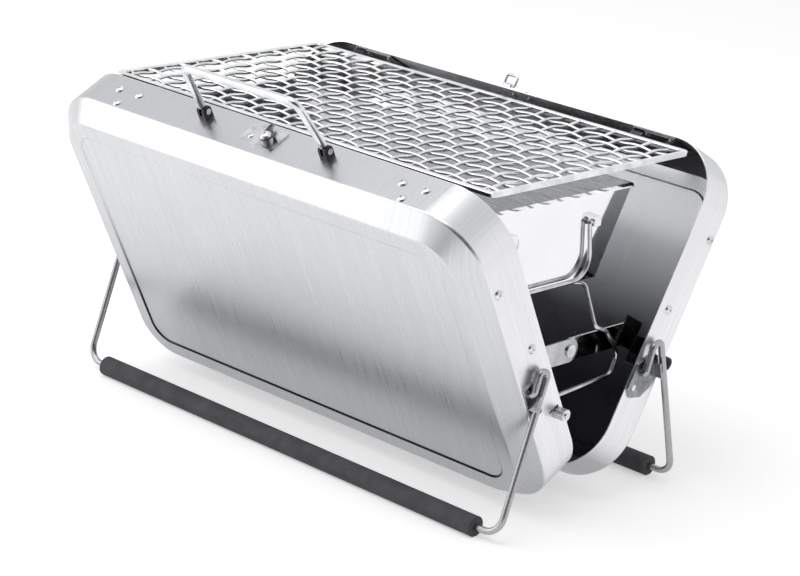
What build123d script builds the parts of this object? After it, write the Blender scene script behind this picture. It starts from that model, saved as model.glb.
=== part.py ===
from build123d import *
from math import atan, cos, radians, sin, tan
import os

os.makedirs("parts", exist_ok=True)

# A folding briefcase grill, open and ready to cook, in millimetres.
# Two pressed steel half shells are hinged along their lower rims and stand
# open as a V on two swing-down wire stands. A charcoal tray hangs in the V
# on a wire cradle, and a mesh cooking grid lies across the top.
# Everything is drawn about the hinge line, Y = 0, and written with the origin
# on the table under the middle of the whole object, handle included. X runs
# along the case, -Y is the front half, +Z is up.

# Case
CASE_LENGTH = 420.0
CASE_HEIGHT = 256.0
HALF_DEPTH = 46.0
WALL_DEPTH = 32.0
BEVEL_INSET = 15.0
CORNER_R = 43.0
SHEET = 0.8
EDGE_R = 3.0
PANEL_INSET = 11.5
PANEL_STEP = 1.0
PANEL_SLOPE = 1.6
OPEN_ANGLE = 28.0
RIM_GAP = 0.3
MIDDLE_SHIFT = 5.4
DRILL_REACH = 3.0
NEAR = 0.01

# Hinges along the lower rims
HINGE_Z = 21.5
HINGE_DROP = 2.7
HINGE_PLACES = (-125.0, 125.0)
HINGE_LENGTH = 48.0
KNUCKLE_COUNT = 3
KNUCKLE_R = 2.3
HINGE_PIN_R = 1.3
HINGE_RUN = 0.06
LEAF_T = 1.0
LEAF_DEPTH = 20.0
KNUCKLE_GAP = 0.4
NECK_SIZE = (1.7, 4.0)
NECK_W = 2.1

# Rivets
RIVET_HEAD = (3.6, 1.7)
SMALL_HEAD = (2.4, 1.2)
FLAT_HEAD = (2.4, 0.6)
LATCH_HEAD = (4.4, 2.4)
HEAD_SHOULDER = (0.72, 0.74)
HEAD_EDGE = 0.2
RIVET_DIMPLE_R = 0.9
DIMPLE_LEVEL = 0.5
RIVET_SHANK_R = 1.6
RIVET_TAIL_R = 2.5
RIVET_TAIL_H = 0.9
PLATE_T = 1.2

# Stands
STAND_WIRE_R = 2.5
STAND_OFFSET = 4.7
STAND_BEND_R = 13.0
FOOT_R = 7.6
FOOT_FLAT = 0.3
FOOT_Z = FOOT_R - FOOT_FLAT
FOOT_HALF = 194.0
FOOT_Y = 97.0
HAIRPIN_WIDTH = 8.6
PIVOT_RUN = 0.08
PIVOT_TAIL = 3.0
FRONT_STAND_PIVOT = (106.0, 26.0)
FRONT_STAND_TOP = (112.5, 8.0)
REAR_STAND_PIVOT = (86.0, 10.0)
REAR_STAND_TOP = (112.5, 11.5)
BRACKET_T = 1.5
FRONT_LIP = (17.0, 28.0, 0.4)
REAR_LIP = (15.0, 27.0, -3.0)
LIP_PROUD = 1.0
PIVOT_BEND_R = 2.6
HAIRPIN_R = 3.6

# Handle
HANDLE_HALF = 61.0
HANDLE_TOP_HALF = 56.0
HANDLE_RISE = 44.5
HANDLE_DEPTH = 12.7
HANDLE_LEAN = 9.5
HANDLE_CORNER_R = 7.0
HANDLE_BAR_R = 3.0
BAR_START = 4.6
TONGUE_T = 2.0
TONGUE_R = 2.5
TONGUE_TOP = 8.0
PIN_RISE = 6.0
PIN_HEAD = (2.2, 1.4)
PIN_PROUD = 0.2
MOUNT_LONG = 7.0
MOUNT_DEEP = 8.0
HANDLE_PIN_R = 1.2

# Latch
LATCH_PIVOT = (6.0, 17.0)
LATCH_STOP = (-10.0, 17.4)
LATCH_T = 1.6
LATCH_PLATE = (34.0, 21.0)
LATCH_PLATE_AT = (-1.0, 14.0)
PLATE_CORNER_R = 3.0
LEVER_R = 4.6
LEVER_BOSS_R = 4.2
LEVER_NOSE = ((-4.6, 0), (-6.6, 12.5), (-4.2, 13.4), (-1.6, 8.5), (4.6, 5.0), (4.6, 0))
CATCH_RIVETS = ((-14.0, 17.0), (3.0, 18.0))
CATCH_PLATE = (28.0, 20.0)
CATCH_PLATE_AT = (-6.0, 12.5)
LOOP_U = 1.0
LOOP_WIDTH = 13.0
LOOP_HEIGHT = 8.6
LOOP_WIRE_R = 1.1
LOOP_BEND_R = 2.0
LOOP_DEPTH = 5.0
LOOP_BARREL = 5.0
LOOP_BARREL_WALL = 1.0
LOOP_END = 0.6

# Cooking grid
GRID_LENGTH = 380.0
GRID_WIDTH = 216.0
GRID_Z = 245.0
GRID_BAR = 5.0
GRID_BAR_T = 3.2
GRID_OUTER_R = 6.0
GRID_CORNER_R = 3.0
GRID_EDGE = 0.6
MESH_T = 2.0
MESH_STRAND = 2.6
MESH_PITCH = (16.76, 16.5)
MESH_FIRST = (-177.84, -95.05)
MESH_COUNT = (22, 12)
REST_PLACES = (-143.0, 143.0)
REST_LENGTH = 38.0
REST_WIDTH = 9.0
REST_SHIFT = 13.0
REST_UNDER_GRID = 3.5
REST_REACH = GRID_WIDTH / 2 - REST_UNDER_GRID
REST_RUN = 15.0
REST_PLATE_W = (4.0, 30.5)
REST_BEND_R = 2.5
SEAT_GAP = 0.3

# Charcoal tray
TRAY_Y = -18.0
TRAY_TOP_Z = 225.0
TRAY_DEPTH = 66.0
TRAY_TOP_HALF = 173.0
TRAY_TOP_WIDE = 83.6
TRAY_END_SLOPE = 2.0
TRAY_SIDE_SLOPE = 30.0
TRAY_SHEET = 1.0
TRAY_FLANGE = 5.0
FLANGE_TRIM = 4.6
AIR_SLOT = (18.0, 5.0)
AIR_SLOT_PITCH = (34.0, 28.0)
AIR_SLOT_COUNT = (9, 3)
BAIL_R = 1.65
BAIL_Y = -21.5
BAIL_TOP_HALF = 39.0
BAIL_LOW_HALF = 46.0
BAIL_Z = 204.0
BAIL_DROP = 42.0
BAIL_STAND_OFF = 2.4
BAIL_BEND_R = 2.2
BAIL_CORNER_R = 16.0
BAIL_END = 1.0
CLIP_HALF = 45.0
CLIP_SIZE = (7.0, 7.0)
CLIP_WALL = 1.2

# Stay links and their brackets
STAY_X = 184.0
STAY_T = 1.5
STAY_WIDTH = 17.0
STAY_PIVOT = (110.5, 16.0)
STAY_PIN_R = 2.5
STAY_PIN_HEAD = (4.0, 1.0)
STAY_MIDDLE_HEAD = (4.6, 1.4)
STAY_FOOT = (3.0, 27.0)
STAY_WEB = (6.0, 27.0)
FRONT_STAY_FOOT = (115.0, 141.0)
FRONT_STAY_FLANGE = (115.0, 141.0)
FRONT_STAY_WEB = (100.0, 141.0)
REAR_STAY_FOOT = (91.0, 141.0)
REAR_STAY_FLANGE = (91.0, 112.0)
REAR_STAY_WEB = (100.0, 122.0)

# Tray cradle
CRADLE_R = 1.65
CRADLE_X = 190.5
CRADLE_PIVOT = (72.0, 6.0)
CRADLE_PATH = ((41.0, 89.5), (47.0, 105.0), (31.0, 124.0), (17.0, 130.6))
CRADLE_UNDER = ((172.5, 23.5, 157.0), (150.0, -2.8, 157.0))
CRADLE_BENDS = [3.0, 8.0, 9.0, 6.0, 4.0, 5.0, 6.0]
CRADLE_END = 1.5
KNOB_R = 4.4
KNOB_LENGTH = 8.0
KNOB_GROOVES = 16
GROOVE_R = 0.6
GROOVE_OUT = 0.25
KNOB_SLOT = (76.8, 8.0)
KNOB_SLOT_SIZE = (1.6, 10.0)

# Rubber bumpers
BUMPER_V = 101.5
BUMPER_R = 5.0
BUMPER_HEIGHT = 8.0
BUMPER_ROUND = 2.6


# Places in the half shells
def half_plane(side):
    """Sketch plane of one half: x along the case, y up the rim, z outward."""
    a = radians(OPEN_ANGLE)
    return Plane((0, 0, HINGE_Z), x_dir=(-side, 0, 0), z_dir=(0, side * cos(a), -sin(a)))


FRONT = half_plane(-1)
REAR = half_plane(1)
V0 = HINGE_DROP
V1 = HINGE_DROP + CASE_HEIGHT
RIM = RIM_GAP


def at(half, u, v, w):
    """A point of a half: u along the case, v up the rim plane, w outward."""
    return half.from_local_coords(Vector(u, v, w))


def side_plane(half, u):
    """Sketch plane across the case: x up the rim plane, y outward."""
    return Plane(at(half, u, 0, 0), x_dir=half.y_dir, z_dir=half.x_dir)


def top_plane(half, u, v, w):
    """Sketch plane that faces up the rim plane: x along the case, y inward."""
    return Plane(at(half, u, v, w), x_dir=half.x_dir, z_dir=half.y_dir)


def wall_plane(half, u, v, w):
    """Sketch plane that faces out of an end wall, at the end that u is on."""
    out = half.x_dir if u > 0 else -half.x_dir
    return Plane(at(half, u, v, w), x_dir=half.y_dir, z_dir=out)


def local(half, y, z):
    """The (v, w) of a point given by its table position and height."""
    p = half.to_local_coords(Vector(0, y, z))
    return (p.Y, p.Z)


def write(part, name):
    part = part.moved(Location((0, MIDDLE_SHIFT, 0)))
    part.label = name
    export_step(part, f"parts/{name}.step")
    box = part.bounding_box().size
    print(name, len(part.solids()), [round(v, 1) for v in box])


def bar(points, radii, wire_r):
    """A bent round wire along a path of straight runs and arcs."""
    with BuildPart() as wire:
        with BuildLine() as path:
            FilletPolyline(*points, radius=radii)
        tangent = Vector(*points[1]) - Vector(*points[0])
        with BuildSketch(Plane(points[0], z_dir=tangent)):
            Circle(wire_r)
        sweep(path=path.line)
    return wire.part


# Rivet, made once, head up at the origin
def rivet_form(grip, head_r, head_h):
    with BuildPart() as form:
        with BuildSketch(Plane.XZ):
            with BuildLine():
                Line((0, head_h * DIMPLE_LEVEL), (RIVET_DIMPLE_R, head_h * DIMPLE_LEVEL))
                Line((RIVET_DIMPLE_R, head_h * DIMPLE_LEVEL), (RIVET_DIMPLE_R, head_h))
                ThreePointArc(
                    (RIVET_DIMPLE_R, head_h),
                    (head_r * HEAD_SHOULDER[0], head_h * HEAD_SHOULDER[1]),
                    (head_r, head_h * HEAD_EDGE),
                )
                Polyline(
                    (head_r, head_h * HEAD_EDGE),
                    (head_r, 0),
                    (RIVET_SHANK_R, 0),
                    (RIVET_SHANK_R, -grip),
                    (RIVET_TAIL_R, -grip),
                    (RIVET_TAIL_R, -grip - RIVET_TAIL_H),
                    (0, -grip - RIVET_TAIL_H),
                    (0, head_h * DIMPLE_LEVEL),
                )
            make_face()
        revolve(axis=Axis.Z)
    return form.part


def riveted(name, *groups):
    """One node of rivets; each group is (planes, grip, (head radius, head height))."""
    with BuildPart() as rivets:
        for planes, grip, head in groups:
            form = rivet_form(grip, *head)
            with Locations(*[p.location for p in planes]):
                add(form)
    write(rivets.part, name)


# Half shells
def rounded(plane, inset):
    with BuildSketch(plane) as outline:
        with Locations((0, V0 + CASE_HEIGHT / 2)):
            RectangleRounded(
                CASE_LENGTH - 2 * inset, CASE_HEIGHT - 2 * inset, CORNER_R - inset
            )
    return outline.sketch


def frustum(half, depth_a, inset_a, depth_b, inset_b):
    """Two rounded outlines at two depths, for a ruled loft."""
    return [
        rounded(half.offset(RIM + depth_a), inset_a),
        rounded(half.offset(RIM + depth_b), inset_b),
    ]


BEVEL_TAN = BEVEL_INSET / (HALF_DEPTH - WALL_DEPTH)
BEVEL_ANGLE = atan(BEVEL_TAN)
INNER_WALL = WALL_DEPTH - SHEET * tan(BEVEL_ANGLE / 2)
PANEL_EDGE = BEVEL_INSET + PANEL_INSET


def inner_inset(depth):
    """Inset of the inside of the bevel at a depth from the rim."""
    return SHEET + (depth - INNER_WALL) * BEVEL_TAN


def half_shell(half, holes, slots):
    """One pressed half: walls, bevel and face with its recessed panel."""
    floor = HALF_DEPTH - SHEET
    with BuildPart() as shell:
        extrude(rounded(half.offset(RIM), 0), amount=WALL_DEPTH)
        loft(frustum(half, WALL_DEPTH, 0, HALF_DEPTH, BEVEL_INSET), ruled=True)
        for depth in (WALL_DEPTH, HALF_DEPTH):
            level = RIM + depth
            edges = shell.edges().filter_by(
                lambda e: abs(half.to_local_coords(e.center()).Z - level) < NEAR
            )
            fillet(edges, EDGE_R)
        extrude(rounded(half.offset(RIM), SHEET), amount=INNER_WALL, mode=Mode.SUBTRACT)
        cavity = frustum(half, INNER_WALL, SHEET, floor, inner_inset(floor))
        loft(cavity, ruled=True, mode=Mode.SUBTRACT)
        step = (PANEL_EDGE - SHEET, PANEL_EDGE - SHEET + PANEL_SLOPE)
        loft(frustum(half, floor, step[0], floor - PANEL_STEP, step[1]), ruled=True)
        step = (PANEL_EDGE, PANEL_EDGE + PANEL_SLOPE)
        pocket = frustum(half, HALF_DEPTH, step[0], HALF_DEPTH - PANEL_STEP, step[1])
        loft(pocket, ruled=True, mode=Mode.SUBTRACT)
        for plane, radius in holes:
            with BuildSketch(plane):
                Circle(radius)
            extrude(amount=DRILL_REACH, both=True, mode=Mode.SUBTRACT)
        for plane, size in slots:
            with BuildSketch(plane):
                Rectangle(*size)
            extrude(amount=DRILL_REACH, both=True, mode=Mode.SUBTRACT)
    return shell.part


# Rivet places
HALF_U = CASE_LENGTH / 2
STAY_RIVET = (135.5, 12.0)
EDGE_RIVET = (195.0, 26.5)
REST_RIVETS = ((-10.7, 13.7), (10.7, 13.7), (0.0, 27.0))
HINGE_RIVETS = (-16.0, 16.0)
HINGE_RIVET_W = 13.0


def end_planes(half, place, proud=0):
    """Planes on both end walls at a (v, w) place, facing out."""
    return [
        wall_plane(half, s * (HALF_U + proud), V0 + place[0], RIM + place[1])
        for s in (-1, 1)
    ]


def rest_rivets(half):
    return [
        top_plane(half, u0 + u, V1, RIM + w) for u0 in REST_PLACES for u, w in REST_RIVETS
    ]


def hinge_rivets(half):
    planes = [
        top_plane(half, u0 + u, V0, RIM + HINGE_RIVET_W)
        for u0 in HINGE_PLACES
        for u in HINGE_RIVETS
    ]
    return [Plane(p.origin, x_dir=p.x_dir, z_dir=-p.z_dir).offset(LEAF_T) for p in planes]


BRACKET_RIVET_FRONT = (89.5, 22.7)
BRACKET_RIVET_REAR = (74.0, 8.0)
latch_planes = [
    top_plane(FRONT, LATCH_PIVOT[0], V1, RIM + LATCH_PIVOT[1]),
    top_plane(FRONT, LATCH_STOP[0], V1, RIM + LATCH_STOP[1]),
]
mount_planes = [top_plane(FRONT, s * HANDLE_HALF, V1, RIM + HANDLE_DEPTH) for s in (-1, 1)]
catch_planes = [top_plane(REAR, u, V1, RIM + w) for u, w in CATCH_RIVETS]


def shell_holes(half, stand_pivot, bracket_rivet, top_planes):
    """The holes of one half, each with its radius."""
    riveted_at = hinge_rivets(half) + rest_rivets(half) + top_planes
    for place in (STAY_RIVET, EDGE_RIVET, bracket_rivet):
        riveted_at += end_planes(half, place)
    holes = [(p, RIVET_SHANK_R) for p in riveted_at]
    return holes + [(p, STAND_WIRE_R + PIVOT_RUN) for p in end_planes(half, stand_pivot)]


front_holes = shell_holes(
    FRONT, FRONT_STAND_PIVOT, BRACKET_RIVET_FRONT, latch_planes + mount_planes
)
front_holes += [(p, CRADLE_R + PIVOT_RUN) for p in end_planes(FRONT, CRADLE_PIVOT)]
knob_slots = [(p, KNOB_SLOT_SIZE) for p in end_planes(FRONT, KNOB_SLOT)]
rear_holes = shell_holes(REAR, REAR_STAND_PIVOT, BRACKET_RIVET_REAR, catch_planes)
write(half_shell(FRONT, front_holes, knob_slots), "front_shell")
write(half_shell(REAR, rear_holes, []), "rear_shell")

for half, side_name in ((FRONT, "front"), (REAR, "rear")):
    riveted(
        f"{side_name}_wall_rivets",
        (end_planes(half, STAY_RIVET), SHEET + PLATE_T, RIVET_HEAD),
        (end_planes(half, EDGE_RIVET), SHEET, RIVET_HEAD),
    )
    riveted(
        f"{side_name}_rest_rivets", (rest_rivets(half), SHEET + PLATE_T, RIVET_HEAD)
    )
    riveted(
        f"{side_name}_hinge_rivets", (hinge_rivets(half), SHEET + LEAF_T, RIVET_HEAD)
    )


# Butt hinges under the lower rims
def hinge_leaves(half, knuckles):
    """The leaves of one half; knuckles are the (start, end) shares of the length."""
    with BuildPart() as leaves:
        for u0 in HINGE_PLACES:
            with BuildSketch(side_plane(half, u0 - HINGE_LENGTH / 2)):
                with Locations((V0 - LEAF_T / 2, RIM + LEAF_DEPTH / 2 + KNUCKLE_R)):
                    Rectangle(LEAF_T, LEAF_DEPTH)
            extrude(amount=HINGE_LENGTH)
            for a, b in knuckles:
                start = u0 - HINGE_LENGTH / 2 + a
                with BuildSketch(side_plane(half, start)):
                    Circle(KNUCKLE_R)
                    with Locations((V0 - NECK_SIZE[0] / 2, NECK_W)):
                        Rectangle(*NECK_SIZE)
                extrude(amount=b - a)
                with BuildSketch(side_plane(half, start)):
                    Circle(HINGE_PIN_R + (0 if half is FRONT else HINGE_RUN))
                extrude(amount=b - a, mode=Mode.SUBTRACT)
        for plane in hinge_rivets(half):
            with BuildSketch(plane):
                Circle(RIVET_SHANK_R)
            extrude(amount=DRILL_REACH, both=True, mode=Mode.SUBTRACT)
    return leaves.part


third = HINGE_LENGTH / KNUCKLE_COUNT
write(
    hinge_leaves(FRONT, ((0, third), (2 * third, HINGE_LENGTH))), "front_hinge_leaves"
)
write(
    hinge_leaves(REAR, ((third + KNUCKLE_GAP, 2 * third - KNUCKLE_GAP),)),
    "rear_hinge_leaves",
)
with BuildPart() as hinge_pins:
    for u0 in HINGE_PLACES:
        with BuildSketch(side_plane(FRONT, u0 - HINGE_LENGTH / 2)):
            Circle(HINGE_PIN_R)
        extrude(amount=HINGE_LENGTH)
write(hinge_pins.part, "hinge_pins")


# Rests for the grid, inside the top walls
def grid_rests(half):
    side = -1 if half is FRONT else 1
    shelf = GRID_Z - GRID_BAR_T / 2 - SEAT_GAP - PLATE_T / 2
    plate_v = V1 - SHEET - PLATE_T / 2
    plate = [(plate_v, RIM + REST_PLATE_W[1]), (plate_v, RIM + REST_PLATE_W[0])]
    tongue = plate + [local(half, side * (REST_REACH + REST_RUN), shelf)]
    tongue.append(local(half, side * REST_REACH, shelf))
    with BuildPart() as rests:
        for u0 in REST_PLACES:
            u_tongue = u0 + REST_SHIFT
            with BuildSketch(side_plane(half, u0 - REST_LENGTH / 2)):
                with BuildLine():
                    Polyline(*plate)
                trace(line_width=PLATE_T)
            extrude(amount=REST_LENGTH)
            with BuildSketch(side_plane(half, u_tongue - REST_WIDTH / 2)):
                with BuildLine():
                    FilletPolyline(*tongue, radius=REST_BEND_R)
                trace(line_width=PLATE_T)
            extrude(amount=REST_WIDTH)
        for plane in rest_rivets(half):
            with BuildSketch(plane):
                Circle(RIVET_SHANK_R)
            extrude(amount=DRILL_REACH, both=True, mode=Mode.SUBTRACT)
    return rests.part


write(grid_rests(FRONT), "front_grid_rests")
write(grid_rests(REAR), "rear_grid_rests")


# Stands: a U of round wire with a hairpin at each end and a sleeved foot
def stand_leg(half, top):
    """Top and foot of a stand's leg, in (v, w), and the way down it."""
    side = -1 if half is FRONT else 1
    foot = Vector(*local(half, side * FOOT_Y, FOOT_Z))
    tip = Vector(V0 + top[0], RIM + top[1])
    return tip, foot, (foot - tip).normalized()


def stand_points(half, pivot, top):
    """Path of a stand wire, from one pivot end through the foot to the other."""
    tip, foot, down = stand_leg(half, top)
    hinge = Vector(V0 + pivot[0], RIM + pivot[1])
    across = Vector(-down.Y, down.X)
    if (hinge - foot).dot(across) < 0:
        across = -across
    inner = tip + across * HAIRPIN_WIDTH
    u_leg = HALF_U + STAND_OFFSET
    u_end = HALF_U - SHEET - PIVOT_TAIL
    one = [(u_end, hinge), (u_leg, hinge), (u_leg, inner), (u_leg, tip), (u_leg, foot)]
    points = [(-u, p.X, p.Y) for u, p in one] + [(u, p.X, p.Y) for u, p in reversed(one)]
    return [tuple(at(half, *q)) for q in points]


def stand(half, pivot, top, name):
    radii = [PIVOT_BEND_R, HAIRPIN_R, HAIRPIN_R, STAND_BEND_R]
    radii = radii + radii[::-1]
    wire = bar(stand_points(half, pivot, top), radii, STAND_WIRE_R)
    write(wire, f"{name}_stand_wire")
    side = -1 if half is FRONT else 1
    with BuildPart() as sleeve:
        with BuildSketch(Plane((-FOOT_HALF, side * FOOT_Y, FOOT_Z), z_dir=(1, 0, 0))):
            Circle(FOOT_R)
            Circle(STAND_WIRE_R, mode=Mode.SUBTRACT)
        extrude(amount=2 * FOOT_HALF)
        split(bisect_by=Plane.XY, keep=Keep.TOP)
    write(sleeve.part, f"{name}_foot_sleeve")


stand(FRONT, FRONT_STAND_PIVOT, FRONT_STAND_TOP, "front")
stand(REAR, REAR_STAND_PIVOT, REAR_STAND_TOP, "rear")


# Stand brackets on the end walls, with a stop lip beside each leg
def stand_lip(half, top, start, end, gap):
    """The two ends of a lip beside a leg; the gap's sign picks the side."""
    tip, foot, down = stand_leg(half, top)
    outward = Vector(down.Y, -down.X)
    shift = outward * (gap + (1 if gap > 0 else -1) * (STAND_WIRE_R + BRACKET_T / 2))
    return [tip + down * start + shift, tip + down * end + shift]


def stand_brackets(half, outline, lip, pivot, rivet):
    with BuildPart() as brackets:
        for s in (-1, 1):
            base = wall_plane(half, s * HALF_U, 0, 0)
            with BuildSketch(base):
                with BuildLine():
                    Polyline(*[(V0 + v, s * (RIM + w)) for v, w in outline], close=True)
                make_face()
            extrude(amount=BRACKET_T)
            with BuildSketch(base):
                with BuildLine():
                    Line(*[(p.X, s * p.Y) for p in lip])
                trace(line_width=BRACKET_T)
            extrude(amount=STAND_OFFSET + STAND_WIRE_R + LIP_PROUD)
            with BuildSketch(base):
                with Locations((V0 + pivot[0], s * (RIM + pivot[1]))):
                    Circle(STAND_WIRE_R + PIVOT_RUN)
                with Locations((V0 + rivet[0], s * (RIM + rivet[1]))):
                    Circle(RIVET_SHANK_R)
            extrude(amount=DRILL_REACH, mode=Mode.SUBTRACT)
    return brackets.part


FRONT_BRACKET = ((85, 20), (85, 31), (97, 31.5), (112, 31), (112, 20.5), (98, 18.5))
REAR_BRACKET = ((66, 8), (71, 1.5), (90, 1.5), (103, 14), (103, 20), (94, 29), (80, 26), (70, 19))
front_lip = stand_lip(FRONT, FRONT_STAND_TOP, *FRONT_LIP)
rear_lip = stand_lip(REAR, REAR_STAND_TOP, *REAR_LIP)
write(
    stand_brackets(FRONT, FRONT_BRACKET, front_lip, FRONT_STAND_PIVOT, BRACKET_RIVET_FRONT),
    "front_stand_brackets",
)
write(
    stand_brackets(REAR, REAR_BRACKET, rear_lip, REAR_STAND_PIVOT, BRACKET_RIVET_REAR),
    "rear_stand_brackets",
)
for half, place, side_name in (
    (FRONT, BRACKET_RIVET_FRONT, "front"),
    (REAR, BRACKET_RIVET_REAR, "rear"),
):
    riveted(
        f"{side_name}_bracket_rivets",
        (end_planes(half, place, BRACKET_T), SHEET + BRACKET_T, FLAT_HEAD),
    )


# Handle: a bent round bar whose flat tongues turn in two black forks
PIN_V = V1 + PIN_RISE
HANDLE_W = RIM + HANDLE_DEPTH
lean = radians(HANDLE_LEAN)
handle_up = FRONT.y_dir * cos(lean) + FRONT.z_dir * sin(lean)
handle_out = FRONT.z_dir * cos(lean) - FRONT.y_dir * sin(lean)
handle_plane = Plane(at(FRONT, 0, PIN_V, HANDLE_W), x_dir=FRONT.x_dir, z_dir=handle_out)
handle_points = (
    (-HANDLE_HALF, BAR_START),
    (-HANDLE_TOP_HALF, HANDLE_RISE),
    (HANDLE_TOP_HALF, HANDLE_RISE),
    (HANDLE_HALF, BAR_START),
)
handle_path = [tuple(handle_plane.from_local_coords(Vector(u, h, 0))) for u, h in handle_points]
with BuildPart() as handle_bar:
    add(bar(handle_path, HANDLE_CORNER_R, HANDLE_BAR_R))
    for s in (-1, 1):
        start = handle_plane.from_local_coords(Vector(s * HANDLE_HALF - TONGUE_T / 2, 0, 0))
        tongue_plane = Plane(start, x_dir=handle_up, z_dir=FRONT.x_dir)
        with BuildSketch(tongue_plane):
            Circle(TONGUE_R)
            with Locations((TONGUE_TOP / 2, 0)):
                Rectangle(TONGUE_TOP, 2 * TONGUE_R)
        extrude(amount=TONGUE_T)
        with BuildSketch(tongue_plane):
            Circle(HANDLE_PIN_R + PIVOT_RUN)
        extrude(amount=TONGUE_T, mode=Mode.SUBTRACT)
write(handle_bar.part, "handle_bar")

slot_floor = PIN_V - TONGUE_R - SEAT_GAP
with BuildPart() as handle_mounts:
    for s in (-1, 1):
        cheek = side_plane(FRONT, s * HANDLE_HALF - MOUNT_LONG / 2)
        with BuildSketch(cheek):
            with Locations(((V1 + PIN_V) / 2, HANDLE_W)):
                Rectangle(PIN_RISE, MOUNT_DEEP)
            with Locations((PIN_V, HANDLE_W)):
                Circle(MOUNT_DEEP / 2)
        extrude(amount=MOUNT_LONG)
        with BuildSketch(top_plane(FRONT, s * HANDLE_HALF, slot_floor, HANDLE_W)):
            Rectangle(TONGUE_T + 2 * SEAT_GAP, 2 * MOUNT_DEEP)
        extrude(amount=2 * PIN_RISE, mode=Mode.SUBTRACT)
        with BuildSketch(cheek):
            with Locations((PIN_V, HANDLE_W)):
                Circle(HANDLE_PIN_R)
        extrude(amount=MOUNT_LONG, mode=Mode.SUBTRACT)
    for plane in mount_planes:
        with BuildSketch(plane):
            Circle(RIVET_SHANK_R)
        extrude(amount=-SHEET)
        with BuildSketch(plane.offset(-SHEET)):
            Circle(RIVET_TAIL_R)
        extrude(amount=-RIVET_TAIL_H)
write(handle_mounts.part, "handle_mounts")
with BuildPart() as handle_pins:
    for s in (-1, 1):
        middle = wall_plane(FRONT, s * HANDLE_HALF, PIN_V, HANDLE_W)
        with BuildSketch(middle):
            Circle(HANDLE_PIN_R)
        extrude(amount=MOUNT_LONG / 2 + PIN_PROUD, both=True)
        for face in (-1, 1):
            with BuildSketch(middle.offset(face * MOUNT_LONG / 2)):
                Circle(PIN_HEAD[0])
            extrude(amount=face * PIN_HEAD[1])
write(handle_pins.part, "handle_pins")

# Latch lever on the front half and wire loop on the rear half
lever_u, lever_w = LATCH_PIVOT
plate_top = V1 + PLATE_T
loop_level = plate_top + SEAT_GAP + LOOP_WIRE_R
lever_level = loop_level + LOOP_WIRE_R + SEAT_GAP
with BuildPart() as latch_plate:
    with BuildSketch(top_plane(FRONT, 0, V1, RIM)):
        with Locations((LATCH_PLATE_AT[0], -LATCH_PLATE_AT[1])):
            RectangleRounded(*LATCH_PLATE, PLATE_CORNER_R)
        for u, w in (LATCH_PIVOT, LATCH_STOP):
            with Locations((u, -w)):
                Circle(RIVET_SHANK_R, mode=Mode.SUBTRACT)
    extrude(amount=PLATE_T)
    with BuildSketch(top_plane(FRONT, lever_u, plate_top, RIM + lever_w)):
        Circle(LEVER_BOSS_R)
        Circle(RIVET_SHANK_R, mode=Mode.SUBTRACT)
    extrude(amount=lever_level - plate_top - PIVOT_RUN)
write(latch_plate.part, "latch_plate")

with BuildPart() as latch_lever:
    with BuildSketch(top_plane(FRONT, lever_u, lever_level, RIM + lever_w)):
        with BuildLine():
            Polyline(*LEVER_NOSE, close=True)
        make_face()
        Circle(LEVER_R)
        Circle(RIVET_SHANK_R + PIVOT_RUN, mode=Mode.SUBTRACT)
    extrude(amount=LATCH_T)
write(latch_lever.part, "latch_lever")

head_level = lever_level + LATCH_T + PIVOT_RUN
riveted(
    "latch_rivets",
    (
        [top_plane(FRONT, lever_u, head_level, RIM + lever_w)],
        head_level - V1 + SHEET,
        LATCH_HEAD,
    ),
    (
        [top_plane(FRONT, LATCH_STOP[0], plate_top, RIM + LATCH_STOP[1])],
        SHEET + PLATE_T,
        SMALL_HEAD,
    ),
)

loop_half = LOOP_WIDTH / 2 - LOOP_WIRE_R
loop_w = RIM + LOOP_DEPTH
with BuildPart() as catch_plate:
    with BuildSketch(top_plane(REAR, 0, V1, RIM)):
        with Locations((CATCH_PLATE_AT[0], -CATCH_PLATE_AT[1])):
            RectangleRounded(*CATCH_PLATE, PLATE_CORNER_R)
        for u, w in CATCH_RIVETS:
            with Locations((u, -w)):
                Circle(RIVET_SHANK_R, mode=Mode.SUBTRACT)
    extrude(amount=PLATE_T)
    with BuildSketch(side_plane(REAR, LOOP_U - LOOP_BARREL / 2)):
        with Locations((loop_level, loop_w)):
            Circle(LOOP_WIRE_R + LOOP_BARREL_WALL)
        with Locations(((loop_level + V1) / 2, loop_w)):
            Rectangle(loop_level - V1, 2 * (LOOP_WIRE_R + LOOP_BARREL_WALL))
        with Locations((loop_level, loop_w)):
            Circle(LOOP_WIRE_R + PIVOT_RUN, mode=Mode.SUBTRACT)
    extrude(amount=LOOP_BARREL)
write(catch_plate.part, "catch_plate")
catch_heads = [p.offset(PLATE_T) for p in catch_planes]
riveted("catch_rivets", (catch_heads, SHEET + PLATE_T, SMALL_HEAD))
loop_points = (
    (LOOP_U, loop_level),
    (LOOP_U - loop_half, loop_level),
    (LOOP_U - loop_half, loop_level + LOOP_HEIGHT),
    (LOOP_U + loop_half, loop_level + LOOP_HEIGHT),
    (LOOP_U + loop_half, loop_level),
    (LOOP_U + LOOP_END, loop_level),
)
write(
    bar([tuple(at(REAR, u, v, loop_w)) for u, v in loop_points], LOOP_BEND_R, LOOP_WIRE_R),
    "catch_loop",
)

# Cooking grid
with BuildPart() as grid_frame:
    with BuildSketch(Plane.XY.offset(GRID_Z - GRID_BAR_T / 2)):
        RectangleRounded(GRID_LENGTH, GRID_WIDTH, GRID_OUTER_R)
        RectangleRounded(
            GRID_LENGTH - 2 * GRID_BAR,
            GRID_WIDTH - 2 * GRID_BAR,
            GRID_CORNER_R,
            mode=Mode.SUBTRACT,
        )
    extrude(amount=GRID_BAR_T)
    chamfer(grid_frame.faces().sort_by(Axis.Z)[-1].edges(), GRID_EDGE)
write(grid_frame.part, "grid_frame")

mesh_half = (GRID_LENGTH / 2 - GRID_BAR, GRID_WIDTH / 2 - GRID_BAR)


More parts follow.
